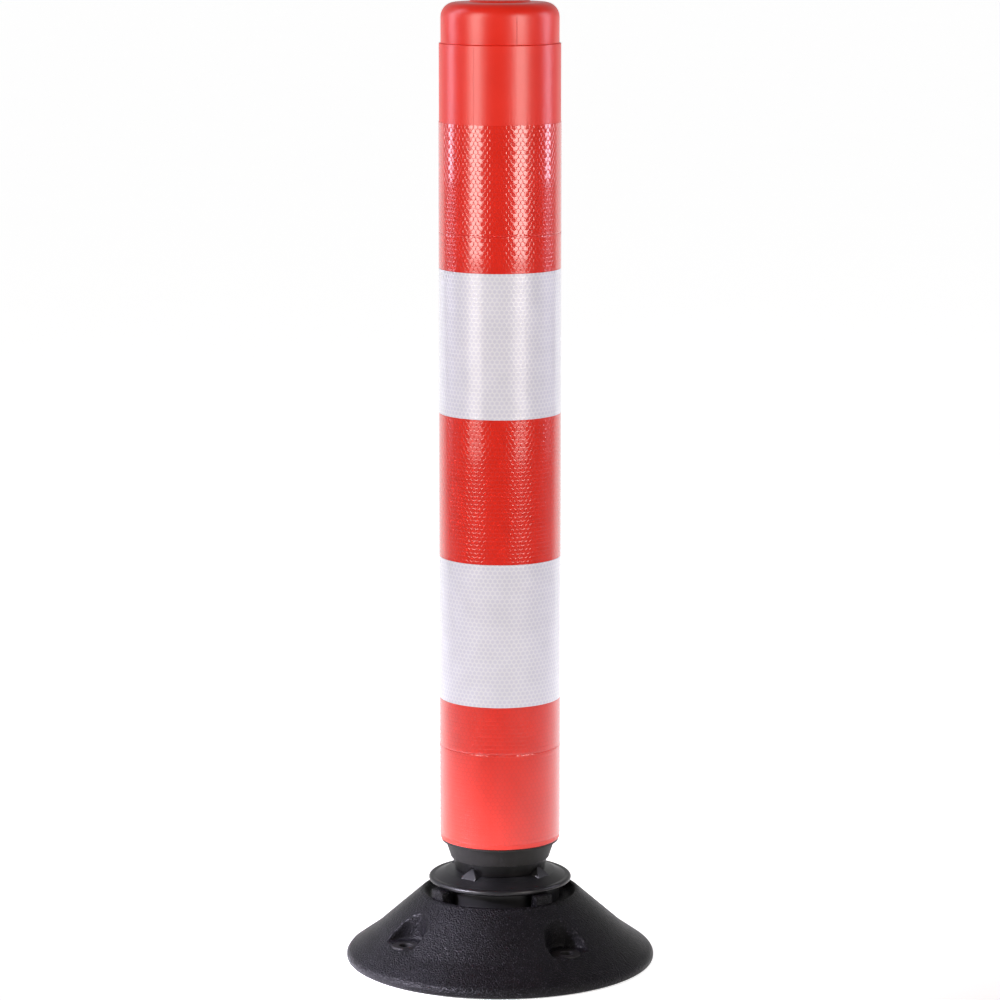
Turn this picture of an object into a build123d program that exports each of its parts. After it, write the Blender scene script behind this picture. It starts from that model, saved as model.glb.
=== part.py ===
from build123d import *
import math
import os

# Self-righting delineator post, in millimetres, +Z up.
# Origin: centre of the rubber base's underside.
# +X is the way the post tips, midway between two of the locating teeth.

# Post tube and its reflective bands
tube_diameter = 100.0
tube_wall = 3.5
band_count = 5
band_height = 120.0
first_band_height = 117.0
sheet_thickness = 0.5
plain_below_bands = 4.0
plain_above_bands = 64.0
tube_edge_radius = 1.2

# End cap
cap_step = 1.4
cap_height = 33.0
cap_corner_radius = 12.0
cap_wall = 3.0
cap_plug_length = 30.0
cap_disc_diameter = 50.0
cap_disc_rise = 2.0
cap_disc_chamfer = 0.9

# Neck that plugs into the tube and stands on the saucer
seat_height = 78.5
neck_foot_diameter = 75.2
neck_foot_wall = 6.6
neck_step_height = 10.0
neck_foot_flare = 2.4
neck_skirt_overhang = 1.3
neck_cone_height = 14.4
neck_cone_inset = 2.9
neck_flange_thickness = 2.1
neck_flange_inset = 1.0
neck_plug_length = 40.0
neck_plug_wall = 8.3
neck_floor_rise = 15.5
neck_floor_thickness = 6.0
neck_foot_draft = 2.0

# Saucer that the neck stands on
saucer_overhang = 10.0
saucer_bead_radius = 2.3
saucer_bead_height = 70.0
saucer_crest_outset = 8.1
saucer_crest_drop = 2.0
saucer_bead_shoulder = 2.0
saucer_rim_core = 1.6
saucer_plate_depth = 12.5
saucer_web_thickness = 6.2
saucer_rib_count = 8
saucer_rib_thickness = 4.0
saucer_boss_wall = 8.7
saucer_boss_depth = 22.0
saucer_hub_diameter = 32.0
saucer_hub_depth = 20.0
cable_bell_depth = 3.0

# Teeth on the saucer and the notches over them
tooth_count = 4
tooth_turn = 45.0
tooth_width = 14.0
tooth_rise = 6.4
tooth_depth_in_foot = 4.1
tooth_ridge_proud = 0.9
tooth_crest_inset = 0.5
tooth_root_depth = 3.0

# Bayonet between the saucer's boss and the socket in the base
socket_bore_diameter = 82.0
socket_wall = 9.0
socket_flange_width = 8.0
socket_flange_thickness = 6.0
socket_bottom = 12.0
socket_lip_thickness = 7.7
socket_ledge = 6.8
lug_angle = 38.0
lug_height = 9.7
slot_angle = 44.0
turn_angle = 45.0
stop_angle = 5.5
stop_gap_angle = 0.5

# Rubber base
base_diameter = 260.0
base_edge_height = 5.5
base_edge_bevel = 1.5
base_shoulder_inset = 2.0
base_shoulder_height = 8.5
base_break_inset = 22.6
base_break_height = 23.0
crown_clearance = 4.8
crown_height = 60.5
recess_depth = 6.5
recess_slope = 5.8
rest_block_width = 16.0
rest_block_depth = 8.5
rest_block_corner = 1.5
base_opening_inset = 4.0

# Fixing pockets and their steel bushes
bolt_count = 4
bolt_edge_distance = 34.5
pocket_diameter = 36.0
pocket_floor_height = 25.3
pocket_lip_radius = 2.0
bolt_hole_diameter = 11.0
bush_wall = 1.5
bush_flange_diameter = 24.0
bush_flange_thickness = 2.0
pocket_turn = 26.0

# Tension cable, spring and their fittings
cable_diameter = 8.0
cable_play = 1.0
stop_wall = 4.0
stop_length = 18.5
stop_washer_diameter = 24.0
washer_thickness = 2.5
guide_wall = 4.0
guide_flange_diameter = 28.0
spring_length = 200.0
spring_wire_diameter = 5.0
spring_mean_diameter = 40.0
spring_turns = 14
spring_cup_rim_height = 8.0
spring_cup_plate = 2.5
stud_diameter = 12.0
stud_thread_length = 52.0
stud_socket_wall = 4.0
stud_socket_length = 50.0
stud_socket_in_spring = 15.0
stud_end_chamfer = 1.2
cable_tail = 3.0
nut_wall = 3.5
nut_height = 10.8
lock_nut_height = 6.0
nut_crown = 0.9

# Clearances
running_gap = 0.3
glue_gap = 0.1
swage_gap = 0.1
thread_gap = 0.1
notch_gap = 0.6
spring_gap = 1.0

# Overlap between shapes that are joined or cut
weld = 1.0

# Heights and radii that follow
tube_radius = tube_diameter / 2
tube_bore_radius = tube_radius - tube_wall
tube_bottom = seat_height + neck_step_height + neck_cone_height + neck_flange_thickness
bands_bottom = tube_bottom + plain_below_bands
second_band_bottom = bands_bottom + first_band_height
tube_top = second_band_bottom + (band_count - 1) * band_height + plain_above_bands
foot_radius = neck_foot_diameter / 2
saucer_top = seat_height - running_gap
crest_radius = foot_radius + running_gap + saucer_crest_outset
floor_bottom = seat_height + neck_floor_rise
floor_top = floor_bottom + neck_floor_thickness
saucer_underside = seat_height - saucer_plate_depth
boss_bottom = saucer_underside - saucer_boss_depth
socket_bore_radius = socket_bore_diameter / 2
boss_radius = socket_bore_radius - running_gap
chamber_radius = socket_bore_radius + socket_ledge
socket_radius = socket_bore_radius + socket_wall
saucer_radius = socket_radius + saucer_overhang
socket_top = saucer_underside - running_gap
lip_bottom = socket_top - socket_lip_thickness
lug_top = lip_bottom - running_gap
lug_radius = chamber_radius - running_gap
base_radius = base_diameter / 2
crown_radius = saucer_radius + crown_clearance
recess_floor = crown_height - recess_depth
bolt_circle_radius = base_radius - bolt_edge_distance
cable_radius = cable_diameter / 2
cable_hole_radius = cable_radius + cable_play
hub_bottom = saucer_top - saucer_hub_depth
stop_top = hub_bottom - washer_thickness
stop_bottom = stop_top - stop_length
cup_bore_radius = (spring_mean_diameter + spring_wire_diameter) / 2 + spring_gap
cup_radius = cup_bore_radius + spring_cup_plate
spring_bottom = floor_top + spring_cup_plate
spring_top = spring_bottom + spring_length
upper_cup_top = spring_top + spring_cup_plate
nut_bottom = upper_cup_top + washer_thickness
stud_socket_top = spring_top - stud_socket_in_spring
stud_top = stud_socket_top + stud_thread_length


def turned(*points):
    """Solid of revolution about Z from an outline of (radius, height) points."""
    outline = Polyline([(r, 0, z) for r, z in points], close=True)
    return revolve(make_face(outline), Axis.Z)


def ring(outer, inner, bottom, top):
    """Plain tube with square ends."""
    return turned((inner, bottom), (outer, bottom), (outer, top), (inner, top))


def disc(radius, bottom, top):
    """Plain cylinder."""
    return Pos(0, 0, bottom) * Cylinder(radius, top - bottom, align=(Align.CENTER, Align.CENTER, Align.MIN))


def around(shape, count, first_angle):
    """Copies of a shape, evenly spaced about Z."""
    return [Rot(0, 0, first_angle + 360 * k / count) * shape for k in range(count)]


def sector(outer, inner, bottom, top, angle):
    """Part of a ring, centred on +X."""
    whole = ring(outer, inner, bottom, top)
    half = math.radians(angle / 2)
    reach = outer * 1.5
    corner = (reach * math.cos(half), reach * math.sin(half))
    wedge_outline = Polyline((0, 0), (corner[0], -corner[1]), corner, close=True)
    wedge = extrude(Pos(0, 0, bottom - weld) * make_face(wedge_outline), top - bottom + 2 * weld)
    return whole & wedge


def hexagon_prism(across_flats, bottom, top):
    """Six-sided nut blank with chamfered corners."""
    blank = extrude(Pos(0, 0, bottom) * RegularPolygon(across_flats / 2, 6, major_radius=False), top - bottom)
    corner = across_flats / math.sqrt(3)
    cone = turned(
        (0, bottom), (across_flats / 2, bottom), (corner, bottom + nut_crown),
        (corner, top - nut_crown), (across_flats / 2, top), (0, top),
    )
    return blank & cone


def make_base():
    """Rubber base: weighted cone with a crown recess, rest blocks and fixing pockets."""
    break_radius = base_radius - base_break_inset
    flange_radius = socket_radius + socket_flange_width
    opening_radius = socket_radius - base_opening_inset
    body = turned(
        (opening_radius, 0),
        (base_radius - base_edge_bevel, 0),
        (base_radius, base_edge_bevel),
        (base_radius, base_edge_height),
        (base_radius - base_shoulder_inset, base_shoulder_height),
        (break_radius, base_break_height),
        (crown_radius, crown_height),
        (crown_radius - recess_slope, recess_floor),
        (socket_radius, recess_floor),
        (socket_radius, socket_bottom + socket_flange_thickness),
        (flange_radius, socket_bottom + socket_flange_thickness),
        (flange_radius, socket_bottom),
        (opening_radius, socket_bottom),
    )
    pocket = Pos(bolt_circle_radius, 0, 0) * disc(pocket_diameter / 2, pocket_floor_height, crown_height)
    for cut in around(pocket, bolt_count, pocket_turn):
        body -= cut
    lips = [
        e for e in body.edges()
        if e.center().Z > pocket_floor_height + weld
        and abs(math.hypot(e.center().X, e.center().Y) - bolt_circle_radius) < pocket_diameter / 2 + weld
        and e.geom_type != GeomType.LINE
    ]
    body = fillet(lips, pocket_lip_radius)
    bush = make_bush_blank(0)
    for cut in around(bush, bolt_count, pocket_turn):
        body -= cut
    block_top = saucer_bead_height - saucer_bead_radius - running_gap
    block_middle = crown_radius - running_gap - rest_block_depth / 2
    block_bottom = recess_floor - weld
    block = Pos(block_middle, 0, (block_bottom + block_top) / 2) * Box(
        rest_block_depth, rest_block_width, block_top - block_bottom
    )
    block = fillet(block.edges().filter_by(Axis.Z), rest_block_corner)
    for added in around(block, bolt_count, pocket_turn):
        body += added
    return body


def make_bush_blank(bore_radius):
    """Flanged steel bush at its bolt hole; a bore radius of 0 gives the hole that it fills."""
    outer = bolt_hole_diameter / 2 + bush_wall
    top = pocket_floor_height
    neck = top - bush_flange_thickness
    blank = turned(
        (bore_radius, 0), (outer, 0), (outer, neck),
        (bush_flange_diameter / 2, neck), (bush_flange_diameter / 2, top), (bore_radius, top),
    )
    return Pos(bolt_circle_radius, 0, 0) * blank


def make_bushes():
    """The four bushes, one solid each."""
    return Compound(children=around(make_bush_blank(bolt_hole_diameter / 2), bolt_count, pocket_turn))


def make_socket():
    """Bayonet socket moulded into the base: slotted lip, chamber and turning stops."""
    flange_top = socket_bottom + socket_flange_thickness
    flange_radius = socket_radius + socket_flange_width
    floor_inner = socket_bore_radius + socket_ledge / 2
    body = turned(
        (floor_inner, socket_bottom),
        (flange_radius, socket_bottom),
        (flange_radius, flange_top),
        (socket_radius, flange_top),
        (socket_radius, socket_top),
        (socket_bore_radius, socket_top),
        (socket_bore_radius, lip_bottom),
        (chamber_radius, lip_bottom),
        (chamber_radius, flange_top),
        (floor_inner, flange_top),
    )
    slot_radius = lug_radius + 2 * running_gap
    slot = sector(slot_radius, socket_bore_radius - weld, lip_bottom - weld, socket_top + weld, slot_angle)
    for cut in around(slot, tooth_count, tooth_turn + turn_angle):
        body -= cut
    stop_inner = socket_bore_radius + running_gap
    stop = sector(chamber_radius + weld, stop_inner, lug_top - lug_height, lip_bottom + weld, stop_angle)
    first = tooth_turn - lug_angle / 2 - stop_gap_angle - stop_angle / 2
    for added in around(stop, tooth_count, first):
        body += added
    return body


def make_tooth(gap):
    """Hip-roofed tooth along +X; a gap makes the larger shape that its notch is cut with."""
    half = tooth_width / 2 + gap
    top = seat_height + tooth_rise + gap
    start = foot_radius - tooth_depth_in_foot - 4 * gap
    root_bottom = saucer_top - tooth_root_depth
    triangle = Plane.YZ * make_face(Polyline((-half, saucer_top), (half, saucer_top), (0, top), close=True))
    root = Plane.YZ * make_face(Polyline(
        (-half, saucer_top), (half, saucer_top), (half, root_bottom), (-half, root_bottom), close=True,
    ))
    length = crest_radius - tooth_crest_inset + 2 * gap - start
    prism = Pos(start, 0, 0) * extrude(triangle, length)
    footing = Pos(start, 0, 0) * extrude(root, length)
    return prism + footing


def make_saucer():
    """Saucer: beaded rim, crest, locating teeth, ribbed hub and bayonet boss."""
    crest = (crest_radius, saucer_top - saucer_crest_drop)
    bead_centre = saucer_radius - saucer_bead_radius
    shoulder = (bead_centre - saucer_bead_radius, saucer_bead_height + saucer_bead_shoulder)
    web = saucer_top - saucer_web_thickness
    boss_inner = boss_radius - saucer_boss_wall
    body = turned(
        (cable_hole_radius, web),
        (cable_hole_radius, saucer_top - cable_bell_depth),
        (cable_hole_radius + cable_bell_depth, saucer_top),
        (foot_radius + running_gap, saucer_top),
        crest,
        shoulder,
        (bead_centre, saucer_bead_height + saucer_rim_core),
        (bead_centre, saucer_bead_height - saucer_rim_core),
        (shoulder[0], saucer_bead_height - saucer_rim_core),
        (boss_radius + saucer_boss_wall, saucer_underside),
        (boss_radius, saucer_underside),
        (boss_radius, boss_bottom),
        (boss_inner, boss_bottom),
        (boss_inner, web),
    )
    body += Pos(0, 0, saucer_bead_height) * Torus(bead_centre, saucer_bead_radius)
    hub = ring(saucer_hub_diameter / 2, cable_hole_radius, hub_bottom, web + weld)
    body += hub
    rib_start = saucer_hub_diameter / 2 - weld
    rib_end = boss_inner + weld
    rib_top = web + weld
    rib = Pos((rib_start + rib_end) / 2, 0, (hub_bottom + rib_top) / 2) * Box(
        rib_end - rib_start, saucer_rib_thickness, rib_top - hub_bottom
    )
    for added in around(rib, saucer_rib_count, 0):
        body += added
    lug = sector(lug_radius, boss_radius - weld, lug_top - lug_height, lug_top, lug_angle)
    for added in around(lug, tooth_count, tooth_turn):
        body += added
    tooth = make_tooth(0) - hip_cut()
    for added in around(tooth, tooth_count, tooth_turn):
        body += added
    return body


def hip_cut():
    """Wedge that slopes a tooth's outer end down to the saucer."""
    top = seat_height + tooth_rise
    ridge_end = foot_radius + tooth_ridge_proud
    toe = crest_radius - tooth_crest_inset
    beyond = 5 * weld
    outline = Polyline(
        (ridge_end, 0, top),
        (toe, 0, saucer_top - saucer_crest_drop),
        (toe + beyond, 0, saucer_top - saucer_crest_drop),
        (toe + beyond, 0, top + beyond),
        (ridge_end, 0, top + beyond),
        close=True,
    )
    return extrude(make_face(outline), tooth_width, both=True)


def make_neck():
    """Neck: notched foot, overhanging cone, flange, plug and the floor that carries the cable guide."""
    step = seat_height + neck_step_height
    cone_top = step + neck_cone_height
    step_radius = foot_radius + neck_foot_flare
    cone_radius = step_radius + neck_skirt_overhang
    flange_radius = tube_radius - neck_flange_inset
    plug_radius = tube_bore_radius - glue_gap
    plug_inner = plug_radius - neck_plug_wall
    foot_inner = foot_radius - neck_foot_wall
    guide_hole = cable_hole_radius + guide_wall
    body = turned(
        (foot_inner, seat_height),
        (foot_radius, seat_height),
        (step_radius, step),
        (cone_radius, step),
        (flange_radius - neck_cone_inset, cone_top),
        (flange_radius, cone_top),
        (flange_radius, tube_bottom),
        (plug_radius, tube_bottom),
        (plug_radius, tube_bottom + neck_plug_length),
        (plug_inner, tube_bottom + neck_plug_length),
        (plug_inner, floor_top),
        (guide_hole, floor_top),
        (guide_hole, floor_bottom),
        (foot_inner + neck_foot_draft, floor_bottom),
    )
    for cut in around(make_tooth(notch_gap), tooth_count, tooth_turn):
        body -= cut
    return body


def make_guide():
    """Flanged plastic bush that the cable runs through, with a bell mouth below."""
    outer = cable_hole_radius + guide_wall
    return turned(
        (cable_hole_radius, floor_bottom + cable_bell_depth),
        (cable_hole_radius + cable_bell_depth, floor_bottom),
        (outer, floor_bottom),
        (outer, floor_top),
        (guide_flange_diameter / 2, floor_top),
        (guide_flange_diameter / 2, floor_top + spring_cup_plate),
        (cable_hole_radius, floor_top + spring_cup_plate),
    )


def make_tube():
    """Post tube with rounded ends."""
    body = ring(tube_radius, tube_bore_radius, tube_bottom, tube_top)
    circles = body.edges().filter_by(GeomType.CIRCLE)
    rims = circles.filter_by(lambda e: abs(e.radius - tube_radius) < 0.01)
    return fillet(rims, tube_edge_radius)


def make_band(index):
    """One sleeve of reflective sheeting, counted from 0 at the bottom."""
    top = second_band_bottom + index * band_height
    height = band_height if index > 0 else first_band_height
    return ring(tube_radius + sheet_thickness, tube_radius, top - height, top)


def make_cap():
    """End cap: round-shouldered shell with a plug inside the tube and a raised disc on top."""
    radius = tube_radius - cap_step
    plug_radius = tube_bore_radius - glue_gap
    top = tube_top + cap_height
    inner_top = top - cap_wall
    shell = turned(
        (0, inner_top),
        (plug_radius - cap_wall, inner_top),
        (plug_radius - cap_wall, tube_top - cap_plug_length),
        (plug_radius, tube_top - cap_plug_length),
        (plug_radius, tube_top),
        (radius, tube_top),
        (radius, top),
        (0, top),
    )
    shoulder = shell.edges().filter_by(lambda e: abs(e.center().Z - top) < 0.01 and e.length > 1)
    shell = fillet(shoulder, cap_corner_radius)
    inner = shell.edges().filter_by(lambda e: abs(e.center().Z - inner_top) < 0.01 and e.length > 1)
    shell = fillet(inner, cap_corner_radius - cap_wall)
    button = disc(cap_disc_diameter / 2, top - weld, top + cap_disc_rise)
    button = chamfer(button.edges().group_by(Axis.Z)[-1], cap_disc_chamfer)
    return shell + button


def make_spring():
    """Compression spring: a round-wire helix between its two cups."""
    mean = spring_mean_diameter / 2
    wire = spring_wire_diameter / 2
    height = spring_length - spring_wire_diameter
    helix = Helix(height / spring_turns, height, mean)
    section = Plane(helix @ 0, z_dir=helix % 0) * Circle(wire)
    return Pos(0, 0, spring_bottom + wire) * sweep(section, helix, is_frenet=True)


def make_lower_cup():
    """Steel cup round the guide's flange, under the spring."""
    inner = guide_flange_diameter / 2 + running_gap
    rim_top = spring_bottom + spring_cup_rim_height
    return turned(
        (inner, floor_top), (cup_radius, floor_top), (cup_radius, rim_top),
        (cup_bore_radius, rim_top), (cup_bore_radius, spring_bottom), (inner, spring_bottom),
    )


def make_upper_cup():
    """Steel cup over the spring, bored for the stud."""
    inner = stud_diameter / 2 + thread_gap
    rim_bottom = spring_top - spring_cup_rim_height
    return turned(
        (inner, upper_cup_top), (cup_radius, upper_cup_top), (cup_radius, rim_bottom),
        (cup_bore_radius, rim_bottom), (cup_bore_radius, spring_top), (inner, spring_top),
    )


def make_stud():
    """Threaded stud whose socket is swaged on to the cable's upper end."""
    socket_bottom_end = stud_socket_top - stud_socket_length
    cable_end = stud_socket_top - stud_diameter / 2
    bore = cable_radius + swage_gap
    return turned(
        (bore, socket_bottom_end),
        (cable_radius + stud_socket_wall, socket_bottom_end),
        (cable_radius + stud_socket_wall, stud_socket_top),
        (stud_diameter / 2, stud_socket_top),
        (stud_diameter / 2, stud_top - stud_end_chamfer),
        (stud_diameter / 2 - stud_end_chamfer, stud_top),
        (0, stud_top),
        (0, cable_end),
        (bore, cable_end),
    )


def make_cable():
    """Wire rope from its stop below the saucer to the stud."""
    return disc(cable_radius, stop_bottom - cable_tail, stud_socket_top - stud_diameter / 2)


def make_thrust_washer():
    """Washer between the upper cup and the adjusting nut."""
    return ring(stop_washer_diameter / 2, stud_diameter / 2 + thread_gap, upper_cup_top, nut_bottom)


def make_nut(bottom, height):
    """Hexagon nut on the stud."""
    return hexagon_prism(stud_diameter + 2 * nut_wall, bottom, bottom + height) - disc(
        stud_diameter / 2 + thread_gap, bottom - weld, bottom + height + weld
    )


parts = {
    "rubber_base": make_base(),
    "bolt_bushes": make_bushes(),
    "bayonet_socket": make_socket(),
    "saucer": make_saucer(),
    "cable_washer": ring(stop_washer_diameter / 2, cable_radius + running_gap, stop_top, hub_bottom),
    "cable_stop": ring(cable_radius + stop_wall, cable_radius + swage_gap, stop_bottom, stop_top),
    "tension_cable": make_cable(),
    "neck": make_neck(),
    "cable_guide": make_guide(),
    "lower_spring_cup": make_lower_cup(),
    "return_spring": make_spring(),
    "upper_spring_cup": make_upper_cup(),
    "thrust_washer": make_thrust_washer(),
    "adjusting_nut": make_nut(nut_bottom, nut_height),
    "lock_nut": make_nut(nut_bottom + nut_height, lock_nut_height),
    "cable_stud": make_stud(),
    "post_tube": make_tube(),
    "end_cap": make_cap(),
}
for index in range(band_count):
    parts[f"reflective_band_{index + 1}"] = make_band(index)

os.makedirs("parts", exist_ok=True)
for name, shape in parts.items():
    export_step(shape, f"parts/{name}.step")
    print(f"{name:20s} {shape.volume:12.1f} mm3")
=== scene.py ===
import math

import bpy
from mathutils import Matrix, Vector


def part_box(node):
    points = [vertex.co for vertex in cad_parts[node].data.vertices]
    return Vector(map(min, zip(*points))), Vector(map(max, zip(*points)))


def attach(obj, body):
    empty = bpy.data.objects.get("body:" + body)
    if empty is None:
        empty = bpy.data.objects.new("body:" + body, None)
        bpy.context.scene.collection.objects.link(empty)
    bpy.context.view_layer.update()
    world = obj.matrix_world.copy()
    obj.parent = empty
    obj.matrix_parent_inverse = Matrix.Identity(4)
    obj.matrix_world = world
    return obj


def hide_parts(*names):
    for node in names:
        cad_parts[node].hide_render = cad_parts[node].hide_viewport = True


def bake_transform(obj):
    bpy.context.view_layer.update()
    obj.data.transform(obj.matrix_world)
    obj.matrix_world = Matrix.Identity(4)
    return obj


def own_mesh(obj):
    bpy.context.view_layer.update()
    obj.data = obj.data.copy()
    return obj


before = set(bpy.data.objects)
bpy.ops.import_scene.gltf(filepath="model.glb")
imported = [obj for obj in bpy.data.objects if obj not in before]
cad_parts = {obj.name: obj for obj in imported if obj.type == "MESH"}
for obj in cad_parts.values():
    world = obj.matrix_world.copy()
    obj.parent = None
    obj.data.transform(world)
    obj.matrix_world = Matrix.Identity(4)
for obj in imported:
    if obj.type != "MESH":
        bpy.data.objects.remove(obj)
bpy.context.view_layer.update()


# Rubber base. The real one is a heavy cone of reground black rubber, pressed in a mould.
# It is turned from its outline, the fixing pockets are bored and the whole is remeshed so
# that every edge comes out soft, as pressed rubber is; then the bevelled rest blocks are
# added and the holes for the bolt bushes and the seats of their flanges are cut.
def rounded(outline, steps=5):
    """Outline points (radius, height, corner radius), each corner turned into a small arc."""
    points = []
    count = len(outline)
    for index, (radius, height, corner) in enumerate(outline):
        before, after = outline[index - 1], outline[(index + 1) % count]
        reach_in = (before[0] - radius, before[1] - height)
        reach_out = (after[0] - radius, after[1] - height)
        length_in, length_out = math.hypot(*reach_in), math.hypot(*reach_out)
        if corner <= 0 or min(length_in, length_out) == 0:
            points.append((radius, height))
            continue
        toward_in = [c / length_in for c in reach_in]
        toward_out = [c / length_out for c in reach_out]
        cosine = toward_in[0] * toward_out[0] + toward_in[1] * toward_out[1]
        half_turn = math.acos(max(-1, min(1, cosine))) / 2
        setback = min(corner / math.tan(half_turn), 0.45 * length_in, 0.45 * length_out)
        start = [radius + setback * toward_in[0], height + setback * toward_in[1]]
        end = [radius + setback * toward_out[0], height + setback * toward_out[1]]
        for step in range(steps + 1):
            t = step / steps
            near, middle, far = (1 - t) ** 2, 2 * t * (1 - t), t ** 2
            points.append((
                near * start[0] + middle * radius + far * end[0],
                near * start[1] + middle * height + far * end[1],
            ))
    return points


def turn(name, outline, facets=144):
    """Turns an outline in metres about Z. One that starts and ends on the axis is closed there."""
    rings = rounded(outline)
    to_axis = rings[0][0] == 0
    if to_axis:
        rings = rings[1:-1]
    bpy.ops.object.select_all(action="DESELECT")
    radius, height = rings[0]
    bpy.ops.mesh.primitive_circle_add(vertices=facets, radius=radius, location=(0, 0, height))
    piece = bpy.context.object
    piece.name = piece.data.name = name
    bpy.ops.object.transform_apply(location=True)
    bpy.ops.object.mode_set(mode="EDIT")
    bpy.ops.mesh.select_all(action="SELECT")
    for next_radius, next_height in rings[1:]:
        bpy.ops.mesh.extrude_region_move(TRANSFORM_OT_translate={"value": (0, 0, next_height - height)})
        grow = next_radius / radius
        bpy.ops.transform.resize(value=(grow, grow, 1), center_override=(0, 0, next_height))
        radius, height = next_radius, next_height
    bpy.ops.mesh.select_all(action="DESELECT")
    bpy.ops.mesh.select_non_manifold()
    if to_axis:
        bpy.ops.mesh.merge(type="COLLAPSE")
    else:
        bpy.ops.mesh.bridge_edge_loops()
    bpy.ops.mesh.select_all(action="SELECT")
    bpy.ops.mesh.normals_make_consistent(inside=False)
    bpy.ops.object.mode_set(mode="OBJECT")
    return piece


def pick(piece):
    """Makes one piece the only selected and active one."""
    bpy.ops.object.select_all(action="DESELECT")
    piece.select_set(True)
    bpy.context.view_layer.objects.active = piece


def add(piece, kind, **settings):
    """Puts a modifier on a piece and applies it."""
    pick(piece)
    modifier = piece.modifiers.new(kind.lower(), kind)
    for setting, value in settings.items():
        setattr(modifier, setting, value)
    bpy.ops.object.modifier_apply(modifier=modifier.name)
    return piece


def join_solid(piece, tool, operation):
    """Cuts one solid from another, or welds it on, and takes the tool away."""
    add(piece, "BOOLEAN", object=tool, operation=operation, solver="EXACT")
    bpy.data.objects.remove(tool)


def round_about(tool, count, first_angle):
    """Copies of one tool, evenly spaced about Z, as a list."""
    copies = []
    for step in range(count):
        pick(tool)
        bpy.ops.object.duplicate()
        copy = bpy.context.object
        copy.rotation_euler.z = first_angle + 2 * math.pi * step / count
        bpy.ops.object.transform_apply(rotation=True)
        copies.append(copy)
    bpy.data.objects.remove(tool)
    return copies


def bar(name, low, high, bevel=0.0):
    """A block between two corners, its edges softened when a bevel is given."""
    bpy.ops.object.select_all(action="DESELECT")
    middle = [(a + b) / 2 for a, b in zip(low, high)]
    bpy.ops.mesh.primitive_cube_add(size=1, location=middle)
    block = bpy.context.object
    block.name = name
    block.scale = [b - a for a, b in zip(low, high)]
    bpy.ops.object.transform_apply(location=True, scale=True)
    if bevel:
        bpy.ops.object.mode_set(mode="EDIT")
        bpy.ops.mesh.select_all(action="SELECT")
        bpy.ops.mesh.bevel(offset=bevel, segments=2)
        bpy.ops.object.mode_set(mode="OBJECT")
    return block


def rod(name, radius, bottom, top, x=0.0, facets=48):
    """An upright plain rod, as a tool."""
    bpy.ops.object.select_all(action="DESELECT")
    middle = (x, 0, (bottom + top) / 2)
    bpy.ops.mesh.primitive_cylinder_add(vertices=facets, radius=radius, depth=top - bottom, location=middle)
    bpy.ops.object.transform_apply(location=True)
    made = bpy.context.object
    made.name = name
    return made


class Tap:
    """One output of a material's nodes. Arithmetic on it adds Math nodes."""

    def __init__(self, tree, socket):
        self.tree = tree
        self.socket = socket

    def node(self, kind, settings=None, inputs=None, output=0):
        """Adds one node: its settings first, then the values or taps of its sockets."""
        made = self.tree.nodes.new(kind)
        for setting, value in (settings or {}).items():
            if setting == "stops":
                stops = made.color_ramp.elements
                while len(stops) < len(value):
                    stops.new(0.5)
                for stop, (place_on_ramp, shade) in zip(stops, value):
                    stop.position = place_on_ramp
                    stop.color = (*shade, 1) if isinstance(shade, tuple) else (shade, shade, shade, 1)
            else:
                setattr(made, setting, value)
        for socket, value in (inputs or {}).items():
            if isinstance(value, Tap):
                self.tree.links.new(value.socket, made.inputs[socket])
            else:
                made.inputs[socket].default_value = value
        return Tap(self.tree, made.outputs[output])

    def math(self, operation, first, second):
        return self.node("ShaderNodeMath", {"operation": operation}, {0: first, 1: second})

    def __add__(self, other):
        return self.math("ADD", self, other)

    def __radd__(self, other):
        return self.math("ADD", other, self)

    def __sub__(self, other):
        return self.math("SUBTRACT", self, other)

    def __rsub__(self, other):
        return self.math("SUBTRACT", other, self)

    def __mul__(self, other):
        return self.math("MULTIPLY", self, other)

    def __rmul__(self, other):
        return self.math("MULTIPLY", other, self)

    def ramp(self, *stops):
        return self.node("ShaderNodeValToRGB", {"stops": stops}, {"Fac": self})

    def noise(self, scale, detail=2.0, roughness=0.5):
        return self.node(
            "ShaderNodeTexNoise", {},
            {"Vector": self, "Scale": scale, "Detail": detail, "Roughness": roughness},
        )

    def stretch(self, *scale):
        return self.node("ShaderNodeMapping", {}, {"Vector": self, "Scale": scale})

    def blend(self, first, second):
        return self.node(
            "ShaderNodeMix", {"data_type": "RGBA"}, {0: self, 6: first, 7: second}, output=2
        )


def finish(name, **constants):
    """A new material: its constants go on the shader, and it gives back its shader and its place."""
    material = bpy.data.materials.new(name)
    material.use_nodes = True
    tree = material.node_tree
    shader = tree.nodes["Principled BSDF"]
    for socket, value in constants.items():
        shader.inputs[socket.replace("_", " ")].default_value = value
    coordinates = tree.nodes.new("ShaderNodeTexCoord")
    return material, shader, Tap(tree, coordinates.outputs["Object"])


def feed(shader, **links):
    """Links taps to a shader's sockets; a bump is given as (height, distance)."""
    for socket, tap in links.items():
        if socket == "Bump":
            height, distance = tap
            tap = height.node("ShaderNodeBump", {}, {"Height": height, "Distance": distance, "Strength": 1.0})
            socket = "Normal"
        tap.tree.links.new(tap.socket, shader.inputs[socket.replace("_", " ")])


def dress(piece, material, body=None, smooth=35):
    """Gives a piece its material, its shading and its place in the record."""
    piece.data.materials.clear()
    piece.data.materials.append(material)
    if smooth is not None:
        pick(piece)
        bpy.ops.object.shade_smooth_by_angle(angle=math.radians(smooth))
    if body:
        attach(piece, body)


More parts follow.
